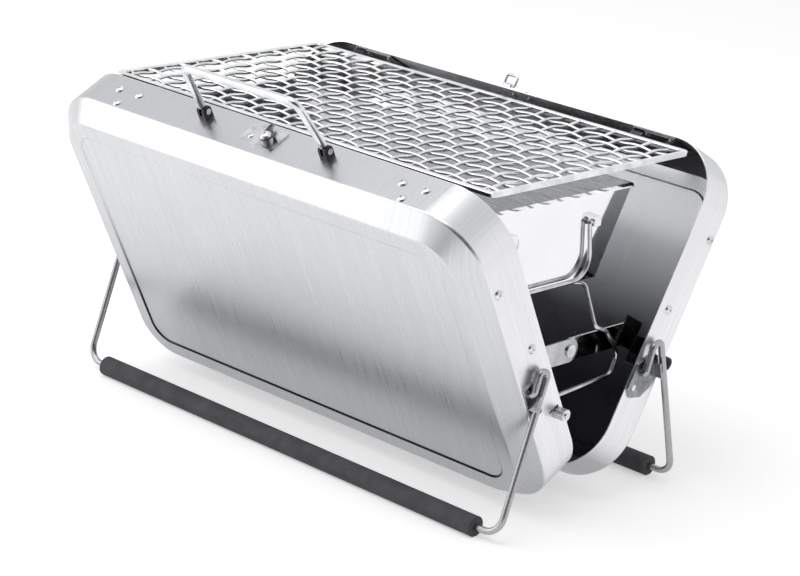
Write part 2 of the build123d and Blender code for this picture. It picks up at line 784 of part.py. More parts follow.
def mesh_cells(axis):
    """The (middle, width) of each opening along one axis of the mesh."""
    wires = [MESH_FIRST[axis] + MESH_PITCH[axis] * i for i in range(MESH_COUNT[axis])]
    starts = [-mesh_half[axis]] + [w + MESH_STRAND / 2 for w in wires]
    ends = [w - MESH_STRAND / 2 for w in wires] + [mesh_half[axis]]
    return [((a + b) / 2, b - a) for a, b in zip(starts, ends)]


with BuildPart() as grid_mesh:
    with BuildSketch(Plane.XY.offset(GRID_Z - MESH_T / 2)):
        RectangleRounded(2 * mesh_half[0], 2 * mesh_half[1], GRID_CORNER_R)
    extrude(amount=MESH_T)
    for y, wide in mesh_cells(1):
        with BuildSketch(Plane.XY.offset(GRID_Z - MESH_T / 2)):
            for x, long in mesh_cells(0):
                with Locations((x, y)):
                    Rectangle(long, wide)
        extrude(amount=MESH_T, mode=Mode.SUBTRACT)
write(grid_mesh.part, "grid_mesh")


# Charcoal tray
def tray_face(z, inset):
    """Outline of the tray at a height, drawn in by an inset."""
    drop = (TRAY_TOP_Z - z) / TRAY_DEPTH
    long_half = TRAY_TOP_HALF - TRAY_END_SLOPE * drop - inset
    wide_half = TRAY_TOP_WIDE - TRAY_SIDE_SLOPE * drop - inset
    with BuildSketch(Plane((0, TRAY_Y, z))) as outline:
        Rectangle(2 * long_half, 2 * wide_half)
    return outline.sketch


tray_floor = TRAY_TOP_Z - TRAY_DEPTH
lug_x = TRAY_TOP_HALF - TRAY_END_SLOPE * (TRAY_TOP_Z - BAIL_Z) / TRAY_DEPTH
bail_x = TRAY_TOP_HALF + BAIL_STAND_OFF
with BuildPart() as charcoal_tray:
    loft([tray_face(TRAY_TOP_Z, 0), tray_face(tray_floor, 0)], ruled=True)
    low = tray_floor + TRAY_SHEET
    loft(
        [tray_face(TRAY_TOP_Z, TRAY_SHEET), tray_face(low, TRAY_SHEET)],
        ruled=True,
        mode=Mode.SUBTRACT,
    )
    with BuildSketch(Plane((0, TRAY_Y, TRAY_TOP_Z - TRAY_SHEET))) as flange:
        Rectangle(2 * (TRAY_TOP_HALF + TRAY_FLANGE), 2 * TRAY_TOP_WIDE)
        chamfer(flange.vertices(), FLANGE_TRIM)
        Rectangle(
            2 * (TRAY_TOP_HALF - TRAY_SHEET), 2 * (TRAY_TOP_WIDE - TRAY_SHEET), mode=Mode.SUBTRACT
        )
    extrude(amount=TRAY_SHEET)
    with BuildSketch(Plane((0, TRAY_Y, tray_floor))):
        with GridLocations(*AIR_SLOT_PITCH, *AIR_SLOT_COUNT):
            SlotOverall(*AIR_SLOT)
    extrude(amount=TRAY_SHEET, mode=Mode.SUBTRACT)
write(charcoal_tray.part, "charcoal_tray")

# Clips that hold the lifting bails on the tray's ends
clip_out = CLIP_HALF + CLIP_SIZE[0] / 2
with BuildPart() as bail_clips:
    for s in (-1, 1):
        for y in (BAIL_Y - CLIP_HALF, BAIL_Y + CLIP_HALF):
            with BuildSketch(Plane((s * lug_x, y, BAIL_Z), x_dir=(0, 1, 0), z_dir=(s, 0, 0))):
                Rectangle(*CLIP_SIZE)
            extrude(amount=bail_x - lug_x + BAIL_R + CLIP_WALL)
    for s in (-1, 1):
        with BuildSketch(Plane((s * bail_x, BAIL_Y - clip_out, BAIL_Z), z_dir=(0, 1, 0))):
            Circle(BAIL_R + PIVOT_RUN)
        extrude(amount=2 * clip_out, mode=Mode.SUBTRACT)
    add(charcoal_tray.part, mode=Mode.SUBTRACT)
write(bail_clips.part, "bail_clips")


def bail(s):
    """Lifting bail: a wire bow that hangs from two clips by its turned-out ends."""
    one_side = [
        (clip_out + BAIL_END, BAIL_Z),
        (BAIL_TOP_HALF, BAIL_Z),
        (BAIL_LOW_HALF, BAIL_Z - BAIL_DROP),
    ]
    points = [(s * bail_x, BAIL_Y - y, z) for y, z in one_side]
    points += [(s * bail_x, BAIL_Y + y, z) for y, z in reversed(one_side)]
    return bar(points, [BAIL_BEND_R, BAIL_CORNER_R, BAIL_CORNER_R, BAIL_BEND_R], BAIL_R)


write(bail(1), "right_tray_bail")
write(bail(-1), "left_tray_bail")


# Stays between the halves, one at each end, of two links
def stay_link(half, name, layer):
    """A link from its bracket to the middle; layer 0 is the outer one."""
    side = -1 if half is FRONT else 1
    pivot = at(half, 0, V0 + STAY_PIVOT[0], RIM + STAY_PIVOT[1])
    length = abs(pivot.Y)
    with BuildPart() as links:
        for s in (-1, 1):
            outer = STAY_X - layer * (STAY_T + SEAT_GAP)
            with BuildSketch(
                Plane((s * outer, pivot.Y, pivot.Z), x_dir=(0, -side, 0), z_dir=(-s, 0, 0))
            ):
                with Locations((length / 2, 0)):
                    SlotCenterToCenter(length, STAY_WIDTH)
                Circle(STAY_PIN_R + PIVOT_RUN, mode=Mode.SUBTRACT)
                if layer == 0:
                    with Locations((length, 0)):
                        Circle(STAY_PIN_R, mode=Mode.SUBTRACT)
            extrude(amount=STAY_T)
    write(links.part, name)
    return pivot


front_pivot = stay_link(FRONT, "front_stay_links", 0)
stay_link(REAR, "rear_stay_links", 1)

with BuildPart() as stay_rivets:
    for s in (-1, 1):
        with BuildSketch(Plane((s * STAY_X, 0, front_pivot.Z), z_dir=(s, 0, 0))):
            Circle(STAY_MIDDLE_HEAD[0])
        extrude(amount=STAY_MIDDLE_HEAD[1])
        with BuildSketch(Plane((s * STAY_X, 0, front_pivot.Z), z_dir=(-s, 0, 0))):
            Circle(STAY_PIN_R)
        extrude(amount=STAY_T)
write(stay_rivets.part, "stay_middle_rivets")


def stay_brackets(half, layer, foot, flange, web_run):
    """Channels from the end walls to the stay pivots, with their pins.

    The foot on the wall, the flange and the web each have a (start, end) up
    the rim plane.
    """
    wall = HALF_U - SHEET
    link_face = STAY_X - layer * (STAY_T + SEAT_GAP)
    web = link_face + SEAT_GAP
    pivot = (V0 + STAY_PIVOT[0], RIM + STAY_PIVOT[1])
    with BuildPart() as channels:
        for s in (-1, 1):
            wall_face = wall_plane(half, s * (wall - PLATE_T), 0, 0)
            web_face = wall_plane(half, s * web, 0, 0)
            with BuildSketch(wall_face):
                with Locations((V0 + sum(foot) / 2, s * (RIM + sum(STAY_FOOT) / 2))):
                    Rectangle(foot[1] - foot[0], STAY_FOOT[1] - STAY_FOOT[0])
                with Locations((V0 + STAY_RIVET[0], s * (RIM + STAY_RIVET[1]))):
                    Circle(RIVET_SHANK_R, mode=Mode.SUBTRACT)
            extrude(amount=PLATE_T)
            with BuildSketch(web_face):
                with Locations((V0 + sum(web_run) / 2, s * (RIM + sum(STAY_WEB) / 2))):
                    Rectangle(web_run[1] - web_run[0], STAY_WEB[1] - STAY_WEB[0])
            extrude(amount=PLATE_T)
            with BuildSketch(web_face):
                with Locations((V0 + sum(flange) / 2, s * (RIM + STAY_WEB[1] - PLATE_T / 2))):
                    Rectangle(flange[1] - flange[0], PLATE_T)
            extrude(amount=wall - web)
            with BuildSketch(web_face):
                with Locations((pivot[0], s * pivot[1])):
                    Circle(STAY_PIN_R)
            extrude(amount=-STAY_T - 2 * SEAT_GAP)
            with BuildSketch(web_face.offset(-STAY_T - 2 * SEAT_GAP)):
                with Locations((pivot[0], s * pivot[1])):
                    Circle(STAY_PIN_HEAD[0])
            extrude(amount=-STAY_PIN_HEAD[1])
    return channels.part


front_channels = stay_brackets(FRONT, 0, FRONT_STAY_FOOT, FRONT_STAY_FLANGE, FRONT_STAY_WEB)
write(front_channels, "front_stay_brackets")
rear_channels = stay_brackets(REAR, 1, REAR_STAY_FOOT, REAR_STAY_FLANGE, REAR_STAY_WEB)
write(rear_channels, "rear_stay_brackets")

# Wire cradle under the tray, pivoted in the front half's end walls
cradle_v = V0 + CRADLE_PIVOT[0]
cradle_w = RIM + CRADLE_PIVOT[1]
cradle_axis = at(FRONT, 0, cradle_v, cradle_w)
one_side = [(HALF_U + KNOB_LENGTH + CRADLE_END, cradle_axis.Y, cradle_axis.Z)]
one_side += [(CRADLE_X, cradle_axis.Y, cradle_axis.Z)]
one_side += [(CRADLE_X, y, z) for y, z in CRADLE_PATH]
one_side += CRADLE_UNDER
cradle_points = [(-x, y, z) for x, y, z in one_side] + list(reversed(one_side))
write(bar(cradle_points, CRADLE_BENDS + CRADLE_BENDS[::-1], CRADLE_R), "tray_cradle")

with BuildPart() as cradle_knobs:
    for s in (-1, 1):
        knob_plane = wall_plane(FRONT, s * (HALF_U + SEAT_GAP), cradle_v, cradle_w)
        with BuildSketch(knob_plane):
            Circle(KNOB_R)
            Circle(CRADLE_R, mode=Mode.SUBTRACT)
        extrude(amount=KNOB_LENGTH)
        with BuildSketch(knob_plane):
            with PolarLocations(KNOB_R + GROOVE_OUT, KNOB_GROOVES):
                Circle(GROOVE_R)
        extrude(amount=KNOB_LENGTH, mode=Mode.SUBTRACT)
write(cradle_knobs.part, "cradle_knobs")


# Rubber bumpers on the rear half's end bevels
bevel_middle = (WALL_DEPTH + HALF_DEPTH) / 2
with BuildPart() as bumpers:
    for s in (-1, 1):
        middle = at(REAR, s * (HALF_U - BEVEL_INSET / 2), V0 + BUMPER_V, RIM + bevel_middle)
        out = REAR.x_dir * s * (HALF_DEPTH - WALL_DEPTH) + REAR.z_dir * BEVEL_INSET
        foot_plane = Plane(middle, x_dir=REAR.y_dir, z_dir=out)
        with BuildSketch(foot_plane):
            Circle(BUMPER_R)
        extrude(amount=BUMPER_HEIGHT)
        top = bumpers.faces().filter_by(
            lambda f: abs(foot_plane.to_local_coords(f.center()).Z - BUMPER_HEIGHT) < NEAR
        )
        fillet(top.edges(), BUMPER_ROUND)
write(bumpers.part, "rear_bumpers")
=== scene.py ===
# %% [markdown]
# # A briefcase grill, dressed for the camera
# The grill is a steel case that opens at the bottom like a book. Each half stands on
# a wire leg with a foam foot, a tray for charcoal hangs in the gap, and a cooking grid
# lies across the open top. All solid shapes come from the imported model, so this script
# only gives them their real finishes and adds the details that a solid leaves out.

import math

import bpy
from mathutils import Matrix, Vector


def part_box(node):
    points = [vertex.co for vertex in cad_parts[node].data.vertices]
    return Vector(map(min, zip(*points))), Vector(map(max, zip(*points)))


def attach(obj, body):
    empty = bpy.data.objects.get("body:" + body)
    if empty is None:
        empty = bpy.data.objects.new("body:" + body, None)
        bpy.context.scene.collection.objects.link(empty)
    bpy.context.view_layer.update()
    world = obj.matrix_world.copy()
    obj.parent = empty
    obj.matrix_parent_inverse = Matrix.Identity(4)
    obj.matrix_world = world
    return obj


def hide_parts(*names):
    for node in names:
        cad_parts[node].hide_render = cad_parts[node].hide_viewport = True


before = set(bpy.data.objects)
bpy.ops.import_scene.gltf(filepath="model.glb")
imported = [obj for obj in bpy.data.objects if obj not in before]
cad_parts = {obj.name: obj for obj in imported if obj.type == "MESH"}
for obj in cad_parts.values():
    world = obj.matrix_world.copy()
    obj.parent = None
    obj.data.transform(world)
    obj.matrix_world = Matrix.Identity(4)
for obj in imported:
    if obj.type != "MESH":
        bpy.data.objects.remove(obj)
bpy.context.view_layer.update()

# %% [markdown]
# ## The camera
# A product picture like this one is taken with a long lens from a step back, so that
# the far end of the case looks hardly smaller than the near end. The camera stands to
# the right of the front, a little above the grid, and leans by a few degrees. It is
# built from those angles instead of being aimed by eye, so it can be checked.

# %% Camera
MM = 0.001
PICTURE_WIDTH = 800
SENSOR_WIDTH = 36.0
FOCAL_PIXELS = 2597.5
CAMERA_AROUND = math.radians(41.735)
CAMERA_ABOVE = math.radians(17.732)
CAMERA_LEAN = math.radians(4.996)
CAMERA_DISTANCE = 1937.13 * MM
LOOK_AT = Vector((0.0, 5.4, 150.0)) * MM
SLIDE_RIGHT = 14.03 * MM
SLIDE_UP = -38.09 * MM

backward = Vector((
    math.sin(CAMERA_AROUND) * math.cos(CAMERA_ABOVE),
    -math.cos(CAMERA_AROUND) * math.cos(CAMERA_ABOVE),
    math.sin(CAMERA_ABOVE),
))
rightward = Vector((math.cos(CAMERA_AROUND), math.sin(CAMERA_AROUND), 0.0))
upward = backward.cross(rightward)
standpoint = LOOK_AT + backward * CAMERA_DISTANCE + rightward * SLIDE_RIGHT + upward * SLIDE_UP
lean_right = rightward * math.cos(CAMERA_LEAN) + upward * math.sin(CAMERA_LEAN)
lean_up = upward * math.cos(CAMERA_LEAN) - rightward * math.sin(CAMERA_LEAN)

camera = bpy.data.objects.new("camera", bpy.data.cameras.new("camera"))
camera.data.sensor_fit = "HORIZONTAL"
camera.data.sensor_width = SENSOR_WIDTH
camera.data.lens = FOCAL_PIXELS / PICTURE_WIDTH * SENSOR_WIDTH
axes = Matrix((lean_right, lean_up, backward)).transposed().to_4x4()
camera.matrix_world = Matrix.Translation(standpoint) @ axes
bpy.context.scene.collection.objects.link(camera)
bpy.context.scene.camera = camera
bpy.context.scene.view_settings.view_transform = "Standard"
print("lens", round(camera.data.lens, 1), "mm, stands at", [round(c, 3) for c in standpoint])

# %% [markdown]
# ## Two helpers for every finish
# A finish is a small chain of shader nodes. One helper turns a colour as a designer
# writes it, in sRGB hex, into the linear numbers a shader wants. The other adds a node
# and fills in its settings and its links in one line, which keeps each finish short
# enough to read as a recipe.

# %% Colour and node helpers
def linear(hex_colour):
    shares = [int(hex_colour[i:i + 2], 16) / 255 for i in (1, 3, 5)]
    return [s / 12.92 if s <= 0.04045 else ((s + 0.055) / 1.055) ** 2.4 for s in shares] + [1.0]


def add(tree, kind, inputs=None, **settings):
    made = tree.nodes.new(kind)
    for name, value in settings.items():
        setattr(made, name, value)
    for name, value in (inputs or {}).items():
        if isinstance(value, bpy.types.NodeSocket):
            tree.links.new(value, made.inputs[name])
        else:
            made.inputs[name].default_value = value
    return made


def start_finish(name, **constants):
    finish = bpy.data.materials.new(name)
    finish.use_nodes = True
    tree = finish.node_tree
    shader = tree.nodes["Principled BSDF"]
    for socket, value in constants.items():
        shader.inputs[socket.replace("_", " ")].default_value = value
    return finish, tree, shader


print("mid grey #808080 is", round(linear("#808080")[0], 3), "linear")

# %% [markdown]
# ## Patterns that several metals share
# Metal that looks real is never one even grey. Three things vary: broad cloudy patches
# from rolling and handling, fine lines where an abrasive belt passed, and edges that
# are painted brighter, a painted highlight along each edge that also stands for wear. Each is one
# helper that returns a value between 0 and 1, so that a recipe only says how strongly it uses
# them. Scales are lengths in millimetres.

# %% Clouds, belt lines and painted edge highlights
FLAT_AGREES = 0.98
EDGE_AGREES = 0.80


def object_place(tree, tilt=0.0):
    place = add(tree, "ShaderNodeTexCoord")
    turned = add(tree, "ShaderNodeMapping", {
        "Vector": place.outputs["Object"],
        "Rotation": (tilt, 0.0, 0.0),
    })
    return turned.outputs["Vector"]


def clouds(tree, where, size_mm, detail=3.0):
    made = add(tree, "ShaderNodeTexNoise", {
        "Vector": where,
        "Scale": 1.0 / (size_mm * MM),
        "Detail": detail,
    })
    return made.outputs["Fac"]


def lines(tree, where, widths_mm):
    squeezed = add(tree, "ShaderNodeMapping", {
        "Vector": where,
        "Scale": tuple(1.0 / (width * MM) for width in widths_mm),
    })
    made = add(tree, "ShaderNodeTexNoise", {
        "Vector": squeezed.outputs["Vector"],
        "Scale": 1.0,
        "Detail": 2.0,
    })
    return made.outputs["Fac"]


# Mask for a painted highlight along edges, which also stands for wear.
def edge_sheen_and_wear(tree, reach_mm):
    rounded = add(tree, "ShaderNodeBevel", {"Radius": reach_mm * MM}, samples=6)
    plain = add(tree, "ShaderNodeNewGeometry")
    agree = add(tree, "ShaderNodeVectorMath", {
        0: rounded.outputs["Normal"],
        1: plain.outputs["Normal"],
    }, operation="DOT_PRODUCT")
    edge = add(tree, "ShaderNodeMapRange", {
        "Value": agree.outputs["Value"],
        "From Min": FLAT_AGREES,
        "From Max": EDGE_AGREES,
    })
    return edge.outputs["Result"]


def faces_inward(tree, middle_mm):
    place = add(tree, "ShaderNodeTexCoord")
    middle = tuple(c * MM for c in middle_mm)
    outward = add(tree, "ShaderNodeVectorMath", {
        0: place.outputs["Object"],
        1: middle,
    }, operation="SUBTRACT").outputs["Vector"]
    agree = add(tree, "ShaderNodeVectorMath", {
        0: outward,
        1: place.outputs["Normal"],
    }, operation="DOT_PRODUCT").outputs["Value"]
    return add(tree, "ShaderNodeMath", {0: agree, 1: 0.0}, operation="LESS_THAN").outputs[0]


def height_share(tree, low_mm, high_mm):
    place = add(tree, "ShaderNodeTexCoord").outputs["Object"]
    height = add(tree, "ShaderNodeSeparateXYZ", {"Vector": place}).outputs["Z"]
    return add(tree, "ShaderNodeMapRange", {
        "Value": height,
        "From Min": low_mm * MM,
        "From Max": high_mm * MM,
    }, interpolation_type="SMOOTHSTEP").outputs["Result"]


def pick(tree, mask, first, second):
    return add(tree, "ShaderNodeMix", {0: mask, 2: first, 3: second}).outputs[0]


def between(tree, amount, low, high):
    made = add(tree, "ShaderNodeMapRange", {
        "Value": amount,
        "From Min": 0.3,
        "From Max": 0.7,
        "To Min": low,
        "To Max": high,
    }, interpolation_type="SMOOTHSTEP")
    return made.outputs["Result"]


def blend_colours(tree, amount, first, second):
    made = add(tree, "ShaderNodeMix", {0: amount, 6: first, 7: second}, data_type="RGBA")
    return made.outputs[2]


def relief(tree, height, depth_mm, strength=1.0):
    made = add(tree, "ShaderNodeBump", {
        "Height": height,
        "Distance": depth_mm * MM,
        "Strength": strength,
    })
    return made.outputs["Normal"]


print("pattern helpers ready")

# %% [markdown]
# ## Brushed stainless sheet: the two case halves
# Each half is pressed from stainless sheet that a belt has brushed across the case, so
# the finest lines run up and down. The eye reads it as soft, pale grey with reflections
# that are drawn out and never sharp. The real lines are under 0.1 mm wide and can't
# show at this distance, so they are drawn 1.2 mm wide and very faint. On an end wall
# the same lines cross the depth of the wall instead, and there the sheet is painted paler,
# a painted light, while faces that look upward are painted a little darker, a painted shade,
# so the recipe looks at which way the surface faces. The outside is also painted a little darker
# low down, a painted shade.
# The inside was never brushed: it keeps the dull mill surface, and toward the fold it is painted
# near black, a painted shade and a painted reflection of the dark opposite half.

# %% Brushed stainless
HALF_TILT = math.radians(28.0)
FACING_BLEND = 0.1
BELT_LINE_MM = 1.2
BELT_RUN_MM = 60.0
ROLLING_CLOUD_MM = 90.0
MILL_BLOTCH_MM = 45.0
SHEET_SHEEN_AND_WEAR_MM = 1.2
END_FACING = 0.86
TOP_FACING = 0.70
FRONT_MIDDLE_MM = (0.0, -69.2, 129.9)
REAR_MIDDLE_MM = (0.0, 80.0, 129.9)
# Heights over which the outside is painted darker low down: painted shade.
OUTSIDE_SHADE_LOW_MM = 10.0
OUTSIDE_SHADE_HIGH_MM = 200.0
# Heights over which the inside is painted near black toward the fold: painted shade and painted
# reflection.
FOLD_SHADE_LOW_MM = 60.0
FOLD_SHADE_HIGH_MM = 168.0


def brushed_stainless(name, tilt, middle_mm):
    finish, tree, shader = start_finish(name, Metallic=1.0)
    where = object_place(tree, tilt)
    broad = clouds(tree, where, ROLLING_CLOUD_MM)
    on_panels = lines(tree, where, (BELT_LINE_MM, BELT_RUN_MM, BELT_RUN_MM))
    on_ends = lines(tree, where, (BELT_RUN_MM, BELT_LINE_MM, BELT_RUN_MM))
    facing = add(tree, "ShaderNodeTexCoord").outputs["Normal"]
    parts = add(tree, "ShaderNodeSeparateXYZ", {"Vector": facing})
    side = add(tree, "ShaderNodeMath", {0: parts.outputs["X"]}, operation="ABSOLUTE").outputs[0]
    is_end = add(tree, "ShaderNodeMapRange", {
        "Value": side,
        "From Min": END_FACING - FACING_BLEND,
        "From Max": END_FACING + FACING_BLEND,
    }).outputs["Result"]
    is_top = add(tree, "ShaderNodeMapRange", {
        "Value": parts.outputs["Z"],
        "From Min": TOP_FACING - FACING_BLEND,
        "From Max": TOP_FACING + FACING_BLEND,
    }).outputs["Result"]
    belt = pick(tree, is_end, on_panels, on_ends)
    sheet = blend_colours(tree, broad, linear("#CBCCCF"), linear("#D9DADC"))
    # Faces that look upward are painted a little darker: painted shade.
    top_painted_shade = blend_colours(tree, is_top, sheet, linear("#BFC0C3"))
    # The outside is painted darker toward the bottom: painted shade.
    lit_share = height_share(tree, OUTSIDE_SHADE_LOW_MM, OUTSIDE_SHADE_HIGH_MM)
    low_painted_shade = blend_colours(tree, lit_share, linear("#B4B5B8"), top_painted_shade)
    # End walls are painted paler: painted light.
    end_painted_light = blend_colours(tree, is_end, low_painted_shade, linear("#ECECEF"))
    streaked = blend_colours(tree, between(tree, belt, 0.0, 0.12), end_painted_light, linear("#A9AAAD"))
    # Edges painted near white: painted highlight, partly wear.
    sheen_and_wear = blend_colours(tree, edge_sheen_and_wear(tree, SHEET_SHEEN_AND_WEAR_MM), streaked, linear("#F0F1F2"))
    blotch = clouds(tree, where, MILL_BLOTCH_MM, 1.0)
    mill = blend_colours(tree, blotch, linear("#C6C7C9"), linear("#D0D1D3"))
    # Toward the fold the inside is painted near black: painted shade and a painted reflection of
    # the opposite half.
    fold_painted_shade = blend_colours(tree, blotch, linear("#323236"), linear("#444448"))
    inner_with_painted_shade = blend_colours(tree, height_share(tree, FOLD_SHADE_LOW_MM, FOLD_SHADE_HIGH_MM), fold_painted_shade, mill)
    inward = faces_inward(tree, middle_mm)
    colour = blend_colours(tree, inward, sheen_and_wear, inner_with_painted_shade)
    tree.links.new(colour, shader.inputs["Base Color"])
    outside_dull = between(tree, belt, 0.27, 0.34)
    inside_dull = between(tree, blotch, 0.26, 0.30)
    tree.links.new(pick(tree, inward, outside_dull, inside_dull), shader.inputs["Roughness"])
    tree.links.new(relief(tree, belt, 0.02, 0.25), shader.inputs["Normal"])
    return finish


front_sheet = brushed_stainless("brushed_stainless_front", -HALF_TILT, FRONT_MIDDLE_MM)
rear_sheet = brushed_stainless("brushed_stainless_rear", HALF_TILT, REAR_MIDDLE_MM)
print("belt lines drawn", BELT_LINE_MM, "mm wide")

# %% [markdown]
# ## Bright metals: rivets, grid, handle, cradle, bails and brackets
# Rivet heads are tumbled until they shine, the grid is chrome plated wire and the
# handle is a polished bar. The small brackets are zinc plated and worn dull on the stands;
# on the rear stays and the rear grid rests they take a dark copy of the plating, a painted shade
# of the rear half's interior. All are smooth metals that differ in how sharply they mirror and in
# how dark they are, so one recipe serves them all: a pair of close greys in clouds, a roughness
# range, faint drawing or rolling lines, and edges painted brighter, a painted highlight that also
# stands for wear.

# %% Bright metals
SMALL_SHEEN_AND_WEAR_MM = 0.6
DRAWN_STRETCH = 30.0


def bright_metal(name, dark, light, smooth, dull, cloud_mm, line_mm, dent_mm=0.01):
    finish, tree, shader = start_finish(name, Metallic=1.0)
    where = object_place(tree)
    patch = clouds(tree, where, cloud_mm)
    drawn = lines(tree, where, (line_mm * DRAWN_STRETCH, line_mm, line_mm))
    tone = blend_colours(tree, between(tree, patch, 0.0, 1.0), linear(dark), linear(light))
    # Edges painted near white: painted highlight, partly wear.
    sheen_and_wear = blend_colours(tree, edge_sheen_and_wear(tree, SMALL_SHEEN_AND_WEAR_MM), tone, linear("#F2F3F4"))
    tree.links.new(sheen_and_wear, shader.inputs["Base Color"])
    tree.links.new(between(tree, drawn, smooth, dull), shader.inputs["Roughness"])
    tree.links.new(relief(tree, drawn, dent_mm, 0.3), shader.inputs["Normal"])
    return finish


rivet_steel = bright_metal("tumbled_rivet_steel", "#C2C3C6", "#E2E3E5", 0.14, 0.22, 4.0, 0.8)
grid_chrome = bright_metal("chrome_plated_wire", "#D0D1D3", "#EFF0F1", 0.08, 0.18, 12.0, 0.8)
clip_polish = bright_metal("polished_clip_steel", "#E2E2E5", "#F4F4F6", 0.05, 0.12, 20.0, 1.0)
plated_bracket = bright_metal("zinc_plated_bracket", "#AEB0B4", "#D3D4D7", 0.15, 0.28, 9.0, 1.0)
handle_polish = bright_metal("polished_handle_bar", "#CFD0D3", "#EAEBEC", 0.06, 0.14, 20.0, 1.0)
cradle_wire = bright_metal("bright_drawn_wire", "#B3B4B7", "#D6D7D9", 0.14, 0.24, 15.0, 0.6)
hinge_sheet = bright_metal("pressed_hinge_steel", "#8A8B8E", "#B0B1B4", 0.30, 0.42, 8.0, 1.0)
stay_polish = bright_metal("polished_stay_strap", "#A9AAAD", "#CFD0D2", 0.05, 0.13, 25.0, 1.0)
worn_bracket = bright_metal("worn_stand_bracket", "#77787C", "#9C9DA1", 0.24, 0.36, 9.0, 1.0)
# Dark copy of the plated bracket for the rear stays and rear grid rests: painted shade.
painted_shade_bracket = bright_metal("painted_shade_stay_bracket", "#2A2A2D", "#4A4A4E", 0.20, 0.32, 9.0, 1.0)
lever_steel = bright_metal("darkened_latch_steel", "#3A3838", "#6A6867", 0.22, 0.34, 4.0, 0.7)
print("bright metals made")

# %% [markdown]
# ## Mirror polished tray
# The charcoal tray is folded from stainless sheet that was bought already polished, so
# its outside is close to a mirror with only a slow ripple from rolling. The inside has
# been wiped and handled more and is duller, and it is painted darker, a painted shade that keeps
# the space under the grid calm.

# %% Tray finish
TRAY_MIDDLE_MM = (0.0, -12.6, 195.0)
RIPPLE_MM = 40.0
WIPE_RUN_MM = 40.0
WIPE_LINE_MM = 1.5
TRAY_SHEEN_AND_WEAR_MM = 0.8


def polished_tray(name):
    finish, tree, shader = start_finish(name, Metallic=1.0)
    where = object_place(tree)
    ripple = clouds(tree, where, RIPPLE_MM, 1.0)
    wiped = lines(tree, where, (WIPE_RUN_MM, WIPE_LINE_MM, WIPE_LINE_MM))
    outer = blend_colours(tree, ripple, linear("#EAEAED"), linear("#F6F6F8"))
    # The inside of the tray is painted darker: painted shade.
    inner_with_painted_shade = blend_colours(tree, wiped, linear("#96979A"), linear("#B4B5B8"))
    inward = faces_inward(tree, TRAY_MIDDLE_MM)
    # Edges painted near white: painted highlight, partly wear.
    sheen_and_wear = blend_colours(tree, edge_sheen_and_wear(tree, TRAY_SHEEN_AND_WEAR_MM), outer, linear("#FAFAFB"))
    tree.links.new(blend_colours(tree, inward, sheen_and_wear, inner_with_painted_shade), shader.inputs["Base Color"])
    outer_dull = between(tree, wiped, 0.03, 0.07)
    inner_dull = between(tree, wiped, 0.16, 0.28)
    tree.links.new(pick(tree, inward, outer_dull, inner_dull), shader.inputs["Roughness"])
    tree.links.new(relief(tree, ripple, 0.15, 0.4), shader.inputs["Normal"])
    return finish


tray_polish = polished_tray("mirror_polished_tray")
print("tray ripple is", RIPPLE_MM, "mm across")

# %% [markdown]
# ## Satin stand wire
# The two legs are thick drawn steel wire with a satin nickel finish. Drawing leaves
# faint lines along the wire and the satin bath makes them dull, so the wire shows a
# broad soft highlight on pale grey and hardly any mirror image.

# %% Stand wire
WIRE_CLOUD_MM = 30.0
WIRE_GRAIN_MM = 1.0
WIRE_SHEEN_AND_WEAR_MM = 0.8


def satin_wire(name):
    finish, tree, shader = start_finish(name, Metallic=1.0)
    where = object_place(tree)
    patch = clouds(tree, where, WIRE_CLOUD_MM)
    grain = clouds(tree, where, WIRE_GRAIN_MM, 2.0)
    tone = blend_colours(tree, patch, linear("#9C9DA0"), linear("#B8B8BB"))
    # Edges painted paler: painted highlight, partly wear.
    sheen_and_wear = blend_colours(tree, edge_sheen_and_wear(tree, WIRE_SHEEN_AND_WEAR_MM), tone, linear("#DADBDC"))
    tree.links.new(sheen_and_wear, shader.inputs["Base Color"])
    tree.links.new(between(tree, grain, 0.20, 0.30), shader.inputs["Roughness"])
    tree.links.new(relief(tree, grain, 0.02, 0.3), shader.inputs["Normal"])
    return finish


stand_satin = satin_wire("satin_nickel_wire")
print("stand wire satin made")

# %% [markdown]
# ## Foam, rubber and moulded plastic
# The feet are closed cell foam tubes, the small bumpers are moulded rubber and the
# handle mounts are black nylon. All are near black and not metal, and differ in their
# surface: foam shows tiny pits and is fully matt, rubber is dull with a faint bloom,
# and nylon has a fine moulded texture and a soft shine. The foam's real pits are about
# 0.3 mm, so they are drawn at 1 mm to be seen at all.

# %% Black soft and moulded materials
BLOOM_CLOUD_MM = 14.0


def black_moulding(name, dark, light, pit_mm, pit_depth_mm, smooth, dull, **constants):
    finish, tree, shader = start_finish(name, IOR=1.5, **constants)
    where = object_place(tree)
    pits = add(tree, "ShaderNodeTexVoronoi", {
        "Vector": where,
        "Scale": 1.0 / (pit_mm * MM),
    }).outputs["Distance"]
    patch = clouds(tree, where, BLOOM_CLOUD_MM)
    tone = blend_colours(tree, between(tree, patch, 0.0, 1.0), linear(dark), linear(light))
    tree.links.new(tone, shader.inputs["Base Color"])
    tree.links.new(between(tree, patch, smooth, dull), shader.inputs["Roughness"])
    tree.links.new(relief(tree, pits, pit_depth_mm, 0.6), shader.inputs["Normal"])
    return finish


foam_black = black_moulding("closed_cell_foam", "#46464A", "#58585D", 1.0, 0.25, 0.80, 0.95)
rubber_black = black_moulding("moulded_rubber", "#18181A", "#262628", 0.6, 0.03, 0.55, 0.70)
nylon_black = black_moulding("moulded_black_nylon", "#141416", "#222225", 0.5, 0.03, 0.32, 0.45)
print("black materials made")

# %% [markdown]
# ## Dress the solids
# The solids already have the right shape, so nearly all of them are kept and only take
# a finish. The table says which finish each one really has. A node left out of it would
# keep its plain packed colour, so the cell stops if one is missing.

